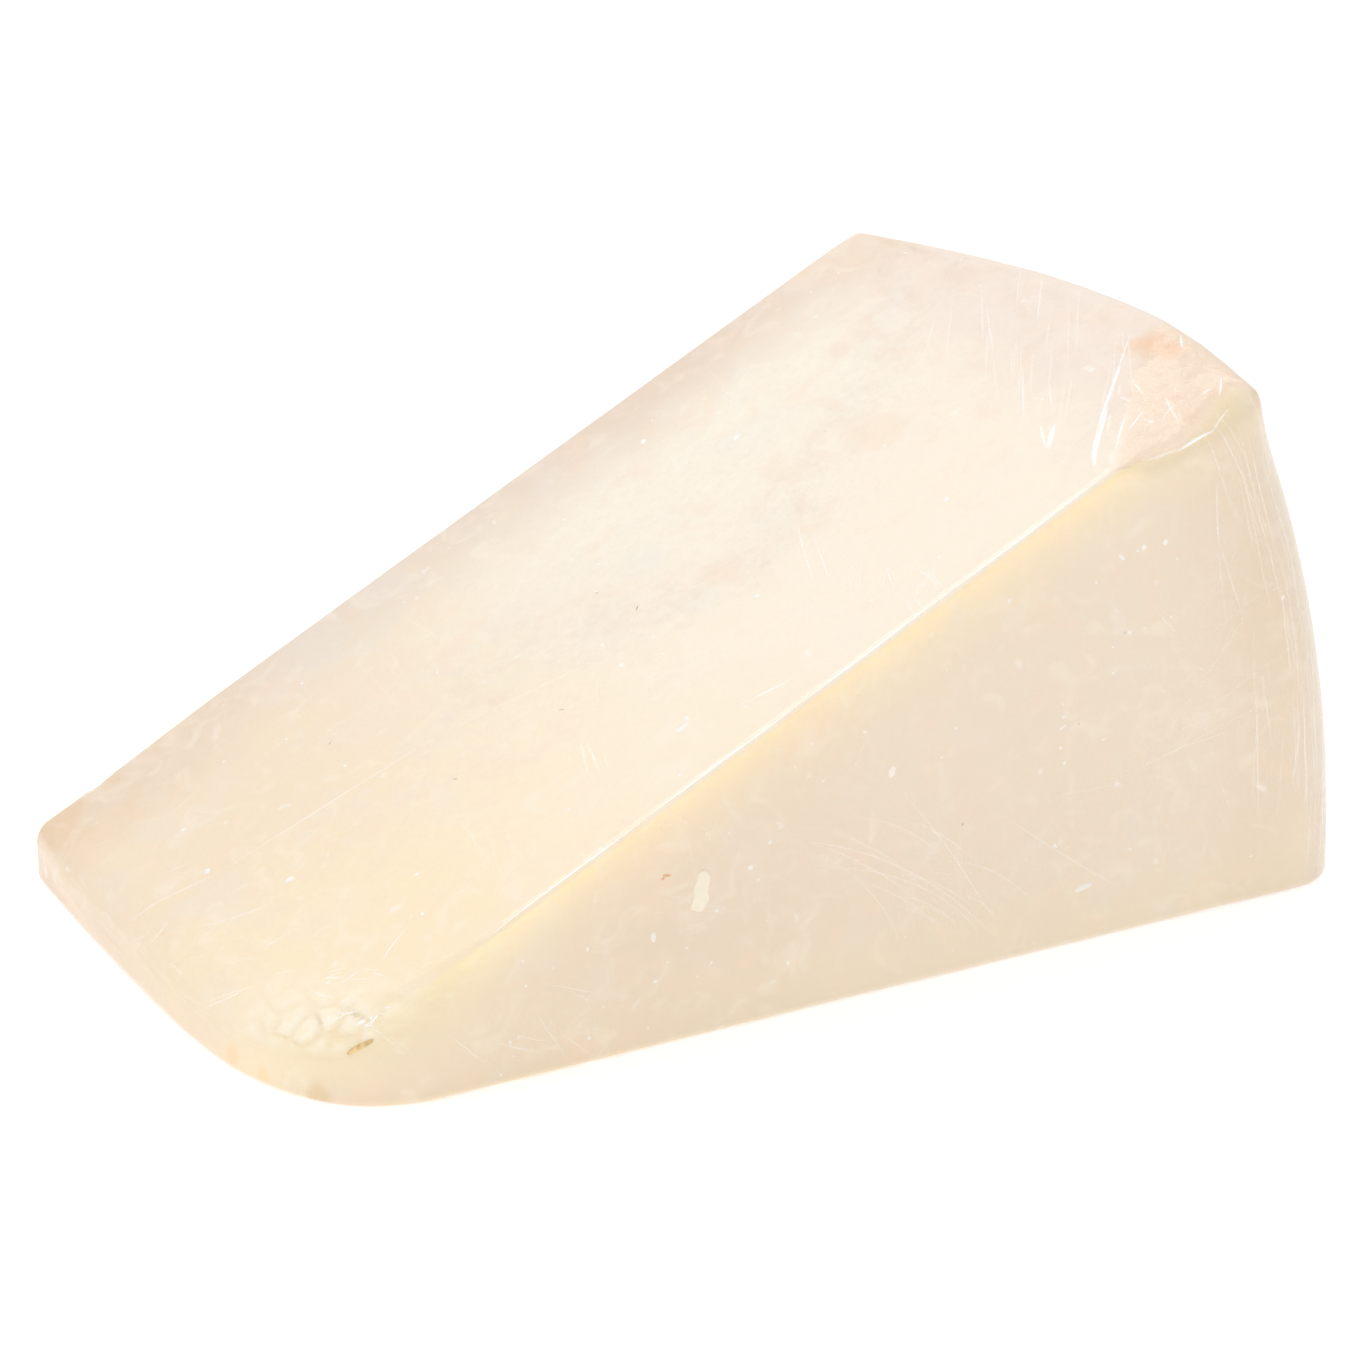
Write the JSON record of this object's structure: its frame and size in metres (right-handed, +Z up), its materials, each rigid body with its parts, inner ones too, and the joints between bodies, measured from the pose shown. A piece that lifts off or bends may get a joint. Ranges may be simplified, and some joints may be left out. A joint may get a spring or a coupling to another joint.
{
  "type": "parmesan cheese wedge",
  "caption": "Wedge of hard aged cheese cut from a tall wheel, lying on its cut face and wrapped tightly in clear film.",
  "frame": {"origin": "middle of the wedge's bounding box in X and Y, at the height of the table it rests on", "axes": "+X from the thin end to the rind, +Y from the front flat face of the wheel to the back one, +Z up"},
  "size_m": [0.1918, 0.1036, 0.092],
  "materials": {
    "cheese": "pale cream hard cheese with a waxy look, seen through film",
    "film": "thin clear cling film, glossy and lightly wrinkled"
  },
  "bodies": {
    "root": {"parmesan_chunk": "cheese"}
  },
  "joints": []
}
